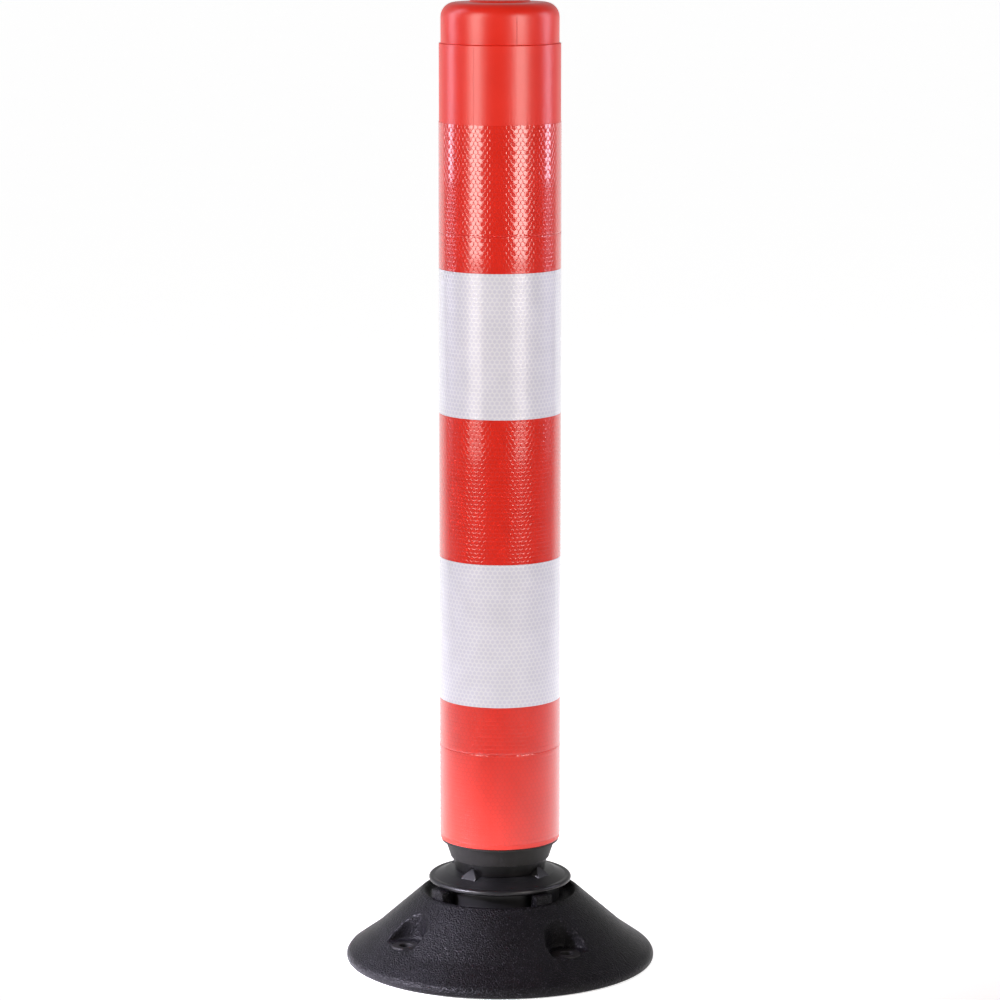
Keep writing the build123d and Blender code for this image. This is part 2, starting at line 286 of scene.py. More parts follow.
base_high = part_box("rubber_base")[1]
base_radius = base_high.x
saucer_low, saucer_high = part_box("saucer")
saucer_radius = saucer_high.x
crown_radius = saucer_radius + 0.0048
crown_height = 0.0605
recess_floor = 0.054
socket_low, socket_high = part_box("bayonet_socket")
socket_radius = 0.050
flange_radius = socket_high.x
flange_top = socket_low.z + 0.006
opening_radius = 0.046
pocket_circle = 0.0955
pocket_radius = 0.018
pocket_floor = 0.0253
first_pocket = math.radians(26)
block_depth = 0.0085
block_width = 0.016

base = turn("rubber_base_moulding", [
    (opening_radius, 0.0002, 0.001),
    (base_radius - 0.0016, 0.0002, 0.001),
    (base_radius - 0.0002, 0.0016, 0.001),
    (base_radius - 0.0002, 0.0055, 0.001),
    (base_radius - 0.0024, 0.0087, 0.003),
    (base_radius - 0.0226, 0.0230, 0.004),
    (crown_radius, crown_height, 0.0016),
    (crown_radius - 0.0058, recess_floor, 0.0015),
    (socket_radius, recess_floor, 0),
    (socket_radius, flange_top, 0),
    (flange_radius, flange_top, 0),
    (flange_radius, socket_low.z, 0),
    (opening_radius, socket_low.z, 0),
], facets=192)
pocket_tool = rod("pocket_tool", pocket_radius, pocket_floor, 0.07, x=pocket_circle, facets=64)
for tool in round_about(pocket_tool, 4, first_pocket):
    join_solid(base, tool, "DIFFERENCE")
add(base, "REMESH", mode="VOXEL", voxel_size=0.0014)
add(base, "SMOOTH", factor=0.5, iterations=3)
block_middle = crown_radius - 0.0003 - block_depth / 2
block_tool = bar(
    "block_tool",
    (block_middle - block_depth / 2, -block_width / 2, recess_floor - 0.001),
    (block_middle + block_depth / 2, block_width / 2, base_high.z - 0.0001),
    bevel=0.0009,
)
for tool in round_about(block_tool, 4, first_pocket):
    join_solid(base, tool, "UNION")
bush_tool = rod("bush_tool", 0.007, -0.01, pocket_floor - 0.001, x=pocket_circle)
for tool in round_about(bush_tool, 4, first_pocket):
    join_solid(base, tool, "DIFFERENCE")
washer_tool = rod("washer_tool", 0.0121, pocket_floor - 0.002, pocket_floor + 0.001, x=pocket_circle)
for tool in round_about(washer_tool, 4, first_pocket):
    join_solid(base, tool, "DIFFERENCE")

rubber, shader, place = finish("pressed_rubber", Specular_IOR_Level=0.13)
pebble = place.noise(780, 1, 0.5)
crumb = place.node("ShaderNodeTexVoronoi", {}, {"Vector": place, "Scale": 640.0})
pit = place.noise(210, 2, 0.5).ramp((0.24, 1.0), (0.33, 0.0))
dust = place.noise(30, 4, 0.6)
# Painted glints: sparse pale specks, tinted like the cool lamp, mixed into the base colour to stand for
# highlights off the grain.
painted_glint = place.noise(1000, 0, 0.5).ramp((0.66, 0.0), (0.74, 1.0))
shade = dust.ramp((0.3, (0.0022, 0.0021, 0.0026)), (0.7, (0.0042, 0.0040, 0.0050)))
feed(
    shader,
    Base_Color=(painted_glint * 0.25).blend(shade, (0.10, 0.095, 0.108, 1)),
    Roughness=0.30 + pebble * 0.15,
    Bump=(pebble + crumb * 0.5 - pit * 0.8, 0.0007),
)
dress(base, rubber, "base", smooth=40)
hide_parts("rubber_base")


# Bolt bushes. Four flanged steel sleeves, black phosphated, that stand in the fixing holes
# and stop the bolt heads from pulling through the rubber. Turned, with broken edges.
sleeve_bore = 0.0055
sleeve_radius = 0.00695
flange_edge = 0.0119
phosphate, shader, place = finish("black_phosphate", Metallic=0.7)
crystal = place.noise(620, 3, 0.6)
feed(
    shader,
    Base_Color=crystal.ramp((0.35, (0.010, 0.010, 0.011)), (0.7, (0.034, 0.033, 0.033))),
    Roughness=0.42 + crystal * 0.25,
    Bump=(crystal, 0.00012),
)
sleeve = turn("bolt_bush", [
    (sleeve_bore, 0.0004, 0.0003),
    (sleeve_radius, 0.0004, 0.0003),
    (sleeve_radius, pocket_floor - 0.002, 0),
    (flange_edge, pocket_floor - 0.002, 0.0003),
    (flange_edge, pocket_floor - 0.0001, 0.0006),
    (sleeve_bore, pocket_floor - 0.0001, 0.0009),
], facets=48)
sleeve.location.x = pocket_circle
pick(sleeve)
bpy.ops.object.transform_apply(location=True)
for number, bush in enumerate(round_about(sleeve, 4, first_pocket), start=1):
    bush.name = f"bolt_bush_{number}"
    dress(bush, phosphate, "base")
    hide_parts("bolt_bushes")


# Bayonet socket. A glass-filled nylon ring moulded into the base, with a slotted lip that
# the saucer's lugs go through and turn under. It is the CAD part in the moulding's finish.
nylon, shader, place = finish("black_nylon", Specular_IOR_Level=0.5)
flow = place.stretch(1, 1, 3).noise(45, 4, 0.6)
matt = place.noise(900, 2, 0.5)
feed(
    shader,
    Base_Color=flow.ramp((0.3, (0.0050, 0.0050, 0.0056)), (0.7, (0.0085, 0.0083, 0.0090))),
    Roughness=0.30 + flow * 0.12,
    Bump=(matt, 0.00004),
)
dress(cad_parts["bayonet_socket"], nylon, smooth=30)


# Saucer. The moulded nylon foot that the neck stands on: a beaded rim, a crest, four
# locating teeth, and below it a ribbed hub and the boss with its bayonet lugs.
# The disc, boss and hub are turned; ribs, lugs and teeth are welded on.
seat = 0.0785
foot_radius = 0.0376
crest_radius = 0.0460
bead = 0.0023
bead_height = 0.070
saucer_top = seat - 0.0003
web = saucer_top - 0.0062
underside = 0.066
boss_outer = 0.0407
boss_inner = boss_outer - 0.0087
boss_bottom = saucer_low.z
hub_radius = 0.016
cable_hole = 0.005
bead_centre = saucer_radius - bead - 0.0001
rim_arc = [
    (bead_centre + bead * math.cos(a), bead_height + bead * math.sin(a), 0)
    for a in (math.radians(110 - 20 * k) for k in range(14))
]
saucer = turn("saucer_moulding", [
    (cable_hole, 0.0582, 0.001),
    (cable_hole, saucer_top, 0.002),
    (foot_radius, saucer_top, 0.004),
    (crest_radius, saucer_top - 0.0020, 0.0004),
    (bead_centre - 0.0026, bead_height + 0.0021, 0.0012),
    *rim_arc,
    (boss_outer + 0.0087, underside, 0.002),
    (boss_outer, underside, 0),
    (boss_outer, boss_bottom, 0.0008),
    (boss_inner, boss_bottom, 0.0008),
    (boss_inner, web, 0.0015),
    (hub_radius, web, 0.0015),
    (hub_radius, 0.0582, 0.0008),
], facets=160)
rib_tool = bar("rib_tool", (hub_radius - 0.002, -0.002, 0.0585), (boss_inner + 0.002, 0.002, web + 0.001))
for tool in round_about(rib_tool, 8, 0):
    join_solid(saucer, tool, "UNION")
lug_radius = 0.0475
lug_top = 0.0577
lug_half = math.radians(19)
lug_tool = turn("lug_tool", [
    (boss_outer - 0.001, lug_top - 0.0097, 0),
    (lug_radius, lug_top - 0.0097, 0.0006),
    (lug_radius, lug_top, 0.0006),
    (boss_outer - 0.001, lug_top, 0),
])
pick(lug_tool)
bpy.ops.object.mode_set(mode="EDIT")
for side in (-1, 1):
    bpy.ops.mesh.select_all(action="SELECT")
    across = (-math.sin(lug_half), math.cos(lug_half) * side, 0)
    bpy.ops.mesh.bisect(plane_co=(0, 0, 0), plane_no=across, use_fill=True, clear_outer=True)
bpy.ops.object.mode_set(mode="OBJECT")
for tool in round_about(lug_tool, 4, math.radians(45)):
    join_solid(saucer, tool, "UNION")


def tooth(name, gap):
    """Hip-roofed tooth along +X. A gap makes the larger tool that cuts its notch."""
    half = 0.007 + gap
    peak = seat + 0.0064 + gap
    start = foot_radius - 0.0041 - 4 * gap
    toe = crest_radius - 0.0005
    end = toe + 2 * gap
    bpy.ops.object.select_all(action="DESELECT")
    bpy.ops.mesh.primitive_cube_add(size=1, location=((start + end) / 2, 0, saucer_top))
    made = bpy.context.object
    made.name = name
    made.scale = (end - start, 2 * half, 2 * (peak - saucer_top))
    bpy.ops.object.transform_apply(location=True, scale=True)
    bpy.ops.object.mode_set(mode="EDIT")
    pitch = math.atan2(peak - saucer_top, half)
    for side in (-1, 1):
        bpy.ops.mesh.select_all(action="SELECT")
        bpy.ops.mesh.bisect(
            plane_co=(0, 0, peak), plane_no=(0, side * math.sin(pitch), math.cos(pitch)),
            use_fill=True, clear_outer=True,
        )
    bpy.ops.mesh.select_all(action="SELECT")
    bpy.ops.mesh.bisect(
        plane_co=(0, 0, saucer_top - 0.003), plane_no=(0, 0, -1), use_fill=True, clear_outer=True
    )
    if gap == 0:
        ridge_end = foot_radius + 0.0009
        hip = math.atan2(peak - saucer_top + 0.002, toe - ridge_end)
        bpy.ops.mesh.select_all(action="SELECT")
        bpy.ops.mesh.bisect(
            plane_co=(toe, 0, saucer_top - 0.002), plane_no=(math.sin(hip), 0, math.cos(hip)),
            use_fill=True, clear_outer=True,
        )
    bpy.ops.object.mode_set(mode="OBJECT")
    return made


for tool in round_about(tooth("tooth_tool", 0), 4, math.radians(45)):
    join_solid(saucer, tool, "UNION")
add(saucer, "BEVEL", width=0.00025, segments=2, limit_method="ANGLE", angle_limit=math.radians(38))
dress(saucer, nylon, "foot", smooth=30)
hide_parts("saucer")


# Cable stop and its washer. A steel sleeve swaged on the cable's lower end, and the washer
# that spreads its pull over the saucer's hub. The sleeve shows the marks of the swaging dies.
zinc, shader, place = finish("zinc_plate", Metallic=1.0)
spangle = place.noise(380, 3, 0.6)
stain = place.noise(60, 4, 0.65)
feed(
    shader,
    Base_Color=stain.ramp((0.35, (0.30, 0.30, 0.30)), (0.7, (0.52, 0.52, 0.51))),
    Roughness=0.32 + spangle * 0.25,
    Bump=(spangle, 0.00006),
)
washer_low, washer_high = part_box("cable_washer")
stop_low, stop_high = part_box("cable_stop")
washer = turn("cable_washer_plate", [
    (0.0043, washer_low.z, 0.0002),
    (washer_high.x, washer_low.z, 0.0005),
    (washer_high.x, washer_high.z, 0.0005),
    (0.0043, washer_high.z, 0.0002),
], facets=64)
dress(washer, zinc, "foot")
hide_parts("cable_washer")
swage_outline = [(0.0041, stop_low.z, 0), (stop_high.x - 0.0012, stop_low.z, 0)]
swage_rings = 4
swage_step = (stop_high.z - stop_low.z - 0.003) / swage_rings
for ring in range(swage_rings):
    foot_of_ring = stop_low.z + 0.0015 + ring * swage_step
    swage_outline.append((stop_high.x - 0.0007, foot_of_ring, 0.0004))
    swage_outline.append((stop_high.x, foot_of_ring + 0.4 * swage_step, 0.0006))
    swage_outline.append((stop_high.x, foot_of_ring + 0.8 * swage_step, 0.0006))
swage_outline += [(stop_high.x - 0.0007, stop_high.z, 0.0003), (0.0041, stop_high.z, 0)]
swage = turn("cable_stop_sleeve", swage_outline, facets=48)
dress(swage, zinc, "foot")
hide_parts("cable_stop")


# Tension cable. Galvanised wire rope, six strands laid round a core. Its lower part runs from
# the saucer into the neck and is modelled straight and fixed, though the real one bends as the
# post tips; its upper part slides with the stud.
galvanised, shader, place = finish("galvanised_wire", Metallic=1.0)
lay = place.noise(700, 2, 0.5)
feed(
    shader,
    Base_Color=lay.ramp((0.3, (0.22, 0.22, 0.225)), (0.75, (0.46, 0.46, 0.46))),
    Roughness=0.34 + lay * 0.2,
)
cable_low, cable_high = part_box("tension_cable")
cable_radius = cable_high.x
strand_radius = cable_radius / 3
strand_lay = 0.052


def rope(name, bottom, top):
    """Six strands, each a small circle screwed round Z, and a straight core."""
    turns = (top - bottom) / strand_lay
    bpy.ops.object.select_all(action="DESELECT")
    bpy.ops.mesh.primitive_circle_add(
        vertices=9, radius=strand_radius, fill_type="NOTHING",
        location=(2 * strand_radius, 0, bottom + 0.0006), rotation=(math.radians(-18), 0, 0),
    )
    strand = bpy.context.object
    bpy.ops.object.transform_apply(location=True, rotation=True)
    steps = max(8, round(turns * 26))
    add(
        strand, "SCREW", angle=2 * math.pi * turns, screw_offset=top - bottom - 0.0012,
        steps=steps, render_steps=steps, use_merge_vertices=False,
    )
    pick(strand)
    bpy.ops.object.mode_set(mode="EDIT")
    bpy.ops.mesh.select_all(action="SELECT")
    bpy.ops.mesh.fill_holes(sides=0)
    bpy.ops.mesh.normals_make_consistent(inside=False)
    bpy.ops.object.mode_set(mode="OBJECT")
    strands = round_about(strand, 6, 0)
    core = turn("core", [
        (0, bottom, 0), (strand_radius, bottom, 0), (strand_radius, top, 0), (0, top, 0),
    ], facets=10)
    add(core, "WELD", merge_threshold=0.000001)
    pick(core)
    for one in strands:
        one.select_set(True)
    bpy.ops.object.join()
    core.name = core.data.name = name
    return core


guide_low, guide_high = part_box("cable_guide")
lower_rope = rope("cable_lower_run", cable_low.z, guide_high.z + 0.04)
dress(lower_rope, galvanised, smooth=60)
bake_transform(lower_rope)
upper_rope = rope("cable_upper_run", guide_high.z + 0.03, cable_high.z)
dress(upper_rope, galvanised, "tensioner", smooth=60)
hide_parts("tension_cable")
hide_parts("tension_cable")


# Neck. One nylon moulding: the notched foot that rocks on the saucer, a step, the cone that
# overhangs it, a thin flange under the tube's end and the plug inside the tube.
neck_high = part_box("neck")[1]
step_height = seat + 0.010
cone_top = step_height + 0.0144
tube_low, tube_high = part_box("post_tube")
tube_bottom = tube_low.z
tube_radius = tube_high.x
plug_radius = 0.0464
plug_inner = plug_radius - 0.0083
floor_low = guide_low.z
floor_top = guide_high.z - 0.0025
neck = turn("neck_moulding", [
    (foot_radius - 0.0066, seat, 0.0006),
    (foot_radius, seat, 0.0006),
    (foot_radius + 0.0024, step_height, 0.0006),
    (foot_radius + 0.0037, step_height, 0.0005),
    (neck_high.x - 0.0029, cone_top, 0.0006),
    (neck_high.x, cone_top, 0.0005),
    (neck_high.x, tube_bottom - 0.0001, 0.0004),
    (plug_radius, tube_bottom - 0.0001, 0),
    (plug_radius, neck_high.z, 0.0012),
    (plug_inner, neck_high.z, 0.0008),
    (plug_inner, floor_top, 0.002),
    (0.009, floor_top, 0),
    (0.009, floor_low, 0.0004),
    (foot_radius - 0.0046, floor_low, 0.002),
], facets=160)
for tool in round_about(tooth("notch_tool", 0.0006), 4, math.radians(45)):
    join_solid(neck, tool, "DIFFERENCE")
add(neck, "BEVEL", width=0.00025, segments=2, limit_method="ANGLE", angle_limit=math.radians(40))

matt_nylon, shader, place = finish("matt_nylon", Specular_IOR_Level=0.45)
drag = place.stretch(1, 1, 0.25).noise(160, 3, 0.6)
spark = place.noise(1500, 2, 0.6)
height = place.node("ShaderNodeSeparateXYZ", {}, {0: place}, output=2)
# The mask is 0 below the step and 1 above it. Below the step the foot gets a far darker colour, which is
# painted shade for the shadow under the cone's overhang, and a smoother finish. Above the step the cone keeps
# its own lighter colour and is sanded: rougher and bumped.
sanded_vs_shaded_foot = height.node(
    "ShaderNodeMapRange", {},
    {"Value": height, "From Min": step_height - 0.0002, "From Max": step_height + 0.0004},
)
polished_painted_shade = drag.ramp((0.3, (0.0028, 0.0027, 0.0028)), (0.75, (0.0048, 0.0046, 0.0046)))
frosted = drag.ramp((0.3, (0.0105, 0.0095, 0.0088)), (0.75, (0.0170, 0.0153, 0.0144)))
feed(
    shader,
    Base_Color=sanded_vs_shaded_foot.blend(polished_painted_shade, frosted),
    Roughness=0.30 + drag * 0.12 + sanded_vs_shaded_foot * 0.22,
    Bump=(spark * sanded_vs_shaded_foot + drag * 0.3, 0.00010),
)
dress(neck, matt_nylon, "post", smooth=30)
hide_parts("neck")


# Cable guide. A natural acetal bush, flanged above and belled below, that keeps the cable
# from sawing into the neck's floor.
acetal, shader, place = finish("natural_acetal", Roughness=0.42)
haze = place.noise(90, 3, 0.5)
feed(
    shader,
    Base_Color=haze.ramp((0.3, (0.60, 0.58, 0.51)), (0.7, (0.74, 0.72, 0.66))),
    Bump=(place.noise(900, 2, 0.5), 0.00003),
)
guide = turn("cable_guide_bush", [
    (cable_hole, floor_low + 0.002, 0.0015),
    (cable_hole + 0.0026, floor_low + 0.0001, 0.0008),
    (0.00895, floor_low + 0.0001, 0.0004),
    (0.00895, floor_top, 0),
    (guide_high.x, floor_top, 0.0004),
    (guide_high.x, guide_high.z, 0.0007),
    (cable_hole, guide_high.z, 0.0015),
], facets=64)
dress(guide, acetal, "post")
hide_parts("cable_guide")


# Spring cups. Two pressed steel cups that centre the spring: one stands on the neck's floor
# round the guide, the other closes over the spring's top and rides with the stud.
cup_low, cup_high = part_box("lower_spring_cup")
top_cup_low, top_cup_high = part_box("upper_spring_cup")
cup_bore = cup_high.x - 0.0025
lower_cup = turn("lower_spring_cup_pressing", [
    (guide_high.x + 0.0003, cup_low.z, 0.0004),
    (cup_high.x, cup_low.z, 0.0012),
    (cup_high.x, cup_high.z, 0.0006),
    (cup_bore, cup_high.z, 0.0006),
    (cup_bore, cup_low.z + 0.0025, 0.0008),
    (guide_high.x + 0.0003, cup_low.z + 0.0025, 0.0004),
], facets=96)
dress(lower_cup, zinc, "post")
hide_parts("lower_spring_cup")
upper_cup = turn("upper_spring_cup_pressing", [
    (0.0061, top_cup_high.z - 0.0025, 0.0003),
    (cup_bore, top_cup_high.z - 0.0025, 0.0008),
    (cup_bore, top_cup_low.z, 0.0006),
    (cup_high.x, top_cup_low.z, 0.0006),
    (cup_high.x, top_cup_high.z, 0.0012),
    (0.0061, top_cup_high.z, 0.0003),
], facets=96)
dress(upper_cup, zinc, "tensioner")
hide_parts("upper_spring_cup")


# Return spring. Oil-blackened round wire, fourteen turns. The real one has its end turns closed
# and ground where they sit in the cups and shortens as the stud is drawn down; here the coil has
# an even pitch and one length.
spring_steel, shader, place = finish("oiled_spring_wire", Metallic=0.9)
scale_marks = place.noise(240, 4, 0.65)
feed(
    shader,
    Base_Color=scale_marks.ramp((0.35, (0.035, 0.034, 0.036)), (0.7, (0.105, 0.10, 0.098))),
    Roughness=0.30 + scale_marks * 0.28,
)
spring_low, spring_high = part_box("return_spring")
wire = 0.0025
mean_radius = spring_high.x - wire
spring_turns = 14
bpy.ops.object.select_all(action="DESELECT")
bpy.ops.mesh.primitive_circle_add(
    vertices=14, radius=wire, location=(mean_radius, 0, spring_low.z + wire), rotation=(math.pi / 2, 0, 0),
)
spring = bpy.context.object
spring.name = "return_spring_coil"
bpy.ops.object.transform_apply(location=True, rotation=True)
add(
    spring, "SCREW", angle=2 * math.pi * spring_turns,
    screw_offset=spring_high.z - spring_low.z - 2 * wire,
    steps=spring_turns * 36, render_steps=spring_turns * 36, use_merge_vertices=False,
)
pick(spring)
bpy.ops.object.mode_set(mode="EDIT")
bpy.ops.mesh.select_all(action="SELECT")
bpy.ops.mesh.fill_holes(sides=0)
bpy.ops.mesh.normals_make_consistent(inside=False)
bpy.ops.object.mode_set(mode="OBJECT")
dress(spring, spring_steel, "post", smooth=50)
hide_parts("return_spring")
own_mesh(spring)


# Post tube. Extruded red plastic, satin, with a rounded lip at each end and the fine
# drawn lines and scuffs that run along an extrusion.
red, shader, place = finish("red_extrusion", Specular_IOR_Level=0.85)
drawn = place.stretch(1, 1, 0.012).noise(900, 3, 0.6)
mottle = place.noise(28, 4, 0.6)
scuff = place.stretch(1, 1, 0.18).noise(420, 2, 0.7).ramp((0.66, 0.0), (0.72, 1.0))
feed(
    shader,
    Base_Color=mottle.ramp((0.3, (0.82, 0.020, 0.006)), (0.7, (0.88, 0.025, 0.010))),
    Roughness=0.30 + drawn * 0.07 + scuff * 0.10,
    Bump=(drawn + scuff * 0.5, 0.00003),
)
tube_bore = 0.0465
tube = turn("post_tube_extrusion", [
    (tube_bore, tube_bottom, 0.0005),
    (tube_radius, tube_bottom, 0.0012),
    (tube_radius, tube_high.z, 0.0008),
    (tube_bore, tube_high.z, 0.0004),
], facets=192)
seam = math.radians(-124)
seam_tool = bar(
    "seam_tool", (tube_radius - 0.00015, -0.00015, 0.700), (tube_radius + 0.001, 0.00015, tube_high.z + 0.001)
)
seam_tool.rotation_euler.z = seam
pick(seam_tool)
bpy.ops.object.transform_apply(rotation=True)
join_solid(tube, seam_tool, "DIFFERENCE")
dress(tube, red, "post", smooth=25)
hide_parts("post_tube")


# Reflective bands. Prismatic sheeting wrapped round the tube: flat six-sided cells with
# sealed lines between them, under a clear film. One cell is modelled, arrayed into a sheet,
# rolled into a sleeve, trimmed to the band and backed.
cells_round = 81
seal_width = 0.00040
cell_rise = 0.000065
sheet_back = 0.00043


def film(name, cell_shade, cell_middle, seal_shade, mirror, cell_edge):
    """Clear-coated sheeting: the cell mask runs from 0 on the seals to 1 at a cell's middle."""
    material, shader, place = finish(
        name, Roughness=0.34, Coat_Weight=1.0, Coat_Roughness=0.05, Coat_IOR=1.78,
    )
    mask = place.node("ShaderNodeAttribute", {"attribute_name": "cell"}, output=2)
    batch = place.noise(55, 3, 0.55)
    cell = mask.ramp((cell_edge, seal_shade), (cell_edge + 0.12, cell_shade), (1.0, cell_middle))
    worn = batch.ramp((0.35, 0.94), (0.7, 1.0))
    toned = place.node(
        "ShaderNodeMix", {"data_type": "RGBA", "blend_type": "MULTIPLY"}, {0: 1.0, 6: cell, 7: worn}, output=2
    )
    prisms = mask.ramp((cell_edge, 0.0), (cell_edge + 0.12, 1.0))
    feed(shader, Base_Color=toned, Roughness=0.26 + batch * 0.1, Metallic=prisms * mirror)
    return material


red_film = film(
    "red_sheeting", (0.84, 0.017, 0.0036), (0.86, 0.019, 0.0042), (0.78, 0.014, 0.0030), 0.0, 0.30
)
white_film = film(
    "white_sheeting", (0.88, 0.88, 0.99), (0.76, 0.76, 0.88), (0.96, 0.96, 1.0), 0.04, 0.23
)


def comb(name, bottom, top, turn_by):
    """A sleeve of cells from bottom to top."""
    roll = tube_radius + sheet_back
    pitch = 2 * math.pi * roll / cells_round
    corner = pitch / math.sqrt(3)
    half_cell = pitch / 2 - seal_width
    flattening = roll * (1 - math.cos(half_cell / roll))
    bpy.ops.object.select_all(action="DESELECT")
    bpy.ops.mesh.primitive_circle_add(
        vertices=6, radius=corner, fill_type="NGON", rotation=(math.pi / 2, 0, 0),
        location=(0, 0, bottom - corner * (0.4 + turn_by)),
    )
    sheet = bpy.context.object
    sheet.name = sheet.data.name = name
    bpy.ops.object.transform_apply(location=True, rotation=True)
    bpy.ops.object.mode_set(mode="EDIT")
    bpy.ops.mesh.select_all(action="SELECT")
    bpy.ops.mesh.inset(thickness=seal_width, use_boundary=True)
    bpy.ops.transform.translate(value=(0, -cell_rise, 0))
    bpy.ops.mesh.poke()
    bpy.ops.mesh.select_all(action="DESELECT")
    bpy.ops.object.mode_set(mode="OBJECT")
    for vertex in sheet.data.vertices:
        vertex.select = abs(vertex.co.x) < 0.1 * pitch and vertex.co.y < -0.5 * cell_rise
    bpy.ops.object.mode_set(mode="EDIT")
    bpy.ops.transform.translate(value=(0, flattening, 0))
    bpy.ops.object.mode_set(mode="OBJECT")
    mask = sheet.data.attributes.new("cell", "FLOAT", "POINT")
    mask.data.foreach_set("value", [0.0] * 6 + [0.55] * 6 + [1.0])
    add(
        sheet, "ARRAY", count=cells_round, use_relative_offset=False, use_constant_offset=True,
        constant_offset_displace=(pitch, 0, 0), use_merge_vertices=True, merge_threshold=1e-6,
    )
    pick(sheet)
    bpy.ops.object.mode_set(mode="EDIT")
    bpy.ops.mesh.select_all(action="SELECT")
    bpy.ops.mesh.duplicate_move(TRANSFORM_OT_translate={"value": (pitch / 2, 0, 1.5 * corner)})
    bpy.ops.mesh.select_all(action="SELECT")
    bpy.ops.mesh.remove_doubles(threshold=1e-6)
    bpy.ops.object.mode_set(mode="OBJECT")
    rows = math.ceil((top - bottom) / (3 * corner)) + 1
    add(
        sheet, "ARRAY", count=rows, use_relative_offset=False, use_constant_offset=True,
        constant_offset_displace=(0, 0, 3 * corner), use_merge_vertices=True, merge_threshold=1e-6,
    )
    add(
        sheet, "SIMPLE_DEFORM", deform_method="BEND", deform_axis="Z",
        angle=2 * math.pi * (1 + 0.5 / cells_round),
    )
    sheet.location.y = -roll
    pick(sheet)
    bpy.ops.object.transform_apply(location=True)
    sheet.rotation_euler.z = turn_by
    bpy.ops.object.transform_apply(rotation=True)
    bpy.ops.object.mode_set(mode="EDIT")
    bpy.ops.mesh.select_all(action="SELECT")
    bpy.ops.mesh.remove_doubles(threshold=2e-5)
    bpy.ops.mesh.bisect(plane_co=(0, 0, bottom), plane_no=(0, 0, -1), clear_outer=True)
    bpy.ops.mesh.select_all(action="SELECT")
    bpy.ops.mesh.bisect(plane_co=(0, 0, top), plane_no=(0, 0, 1), clear_outer=True)
    bpy.ops.object.mode_set(mode="OBJECT")
    return sheet


def back(sheet):
    """Turns the sleeve's two edges in to the tube and closes it behind."""
    pick(sheet)
    bpy.ops.object.mode_set(mode="EDIT")
    bpy.ops.mesh.select_all(action="DESELECT")
    bpy.ops.mesh.select_non_manifold()
    bpy.ops.mesh.extrude_edges_move(TRANSFORM_OT_translate={"value": (0, 0, 0)})
    inward = (tube_radius + 0.00002) / (tube_radius + sheet_back)
    bpy.ops.transform.resize(value=(inward, inward, 1), center_override=(0, 0, 0))
    bpy.ops.mesh.bridge_edge_loops()
    bpy.ops.mesh.select_all(action="SELECT")
    bpy.ops.mesh.normals_make_consistent(inside=False)
    bpy.ops.object.mode_set(mode="OBJECT")


def splice(sheet, height):
    """Presses the straight weld line where two lengths of sheeting meet."""
    half = 0.0003
    pick(sheet)
    bpy.ops.object.mode_set(mode="EDIT")
    for edge in (height - half, height + half):
        bpy.ops.mesh.select_all(action="SELECT")
        bpy.ops.mesh.bisect(plane_co=(0, 0, edge), plane_no=(0, 0, 1))
    bpy.ops.object.mode_set(mode="OBJECT")
    mask = sheet.data.attributes["cell"].data
    for vertex in sheet.data.vertices:
        if abs(vertex.co.z - height) < half * 1.05:
            shrink = (tube_radius + 0.00025) / math.hypot(vertex.co.x, vertex.co.y)
            vertex.co.x *= shrink
            vertex.co.y *= shrink
            mask[vertex.index].value = 0.0


splices = {1: 0.186, 5: 0.616}
for number in range(1, 6):
    band_low, band_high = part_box(f"reflective_band_{number}")
    band = comb(f"sheeting_band_{number}", band_low.z + 0.0001, band_high.z - 0.0001, 0.23 * number)
    if number in splices:
        splice(band, splices[number])
    back(band)
    is_red = number % 2 == 1
    dress(
        band, red_film if is_red else white_film,
        "post", smooth=None,
    )
    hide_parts(f"reflective_band_{number}")


# Thrust washer, adjusting nut and lock nut. Zinc-plated hardware on the stud: the washer
# spares the cup, the deep nut sets the cable's pull and the thin one locks it.
thrust_low, thrust_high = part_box("thrust_washer")
thrust = turn("thrust_washer_plate", [
    (0.0061, thrust_low.z, 0.0002),
    (thrust_high.x, thrust_low.z, 0.0005),
    (thrust_high.x, thrust_high.z, 0.0005),
    (0.0061, thrust_high.z, 0.0002),
], facets=64)
dress(thrust, zinc, "tensioner")
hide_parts("thrust_washer")


def nut(name, node):
    """Hexagon nut: a six-sided prism, crowned at both faces by a turned cone, and bored."""
    low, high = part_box(node)
    flats = 0.0095
    corner = flats / math.cos(math.pi / 6)
    bpy.ops.object.select_all(action="DESELECT")
    bpy.ops.mesh.primitive_cylinder_add(
        vertices=6, radius=corner, depth=high.z - low.z, location=(0, 0, (low.z + high.z) / 2),
        rotation=(0, 0, math.pi / 6),
    )
    made = bpy.context.object
    made.name = name
    bpy.ops.object.transform_apply(location=True, rotation=True)
    crown = turn("crown", [
        (0.0061, low.z, 0.0004),
        (flats * 0.97, low.z, 0.0006),
        (corner + 0.0004, low.z + 0.0011, 0),
        (corner + 0.0004, high.z - 0.0011, 0),
        (flats * 0.97, high.z, 0.0006),
        (0.0061, high.z, 0.0004),
    ], facets=72)
    join_solid(made, crown, "INTERSECT")
    dress(made, zinc, "tensioner")
    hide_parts(node)


nut("adjusting_nut_hex", "adjusting_nut")
nut("lock_nut_hex", "lock_nut")


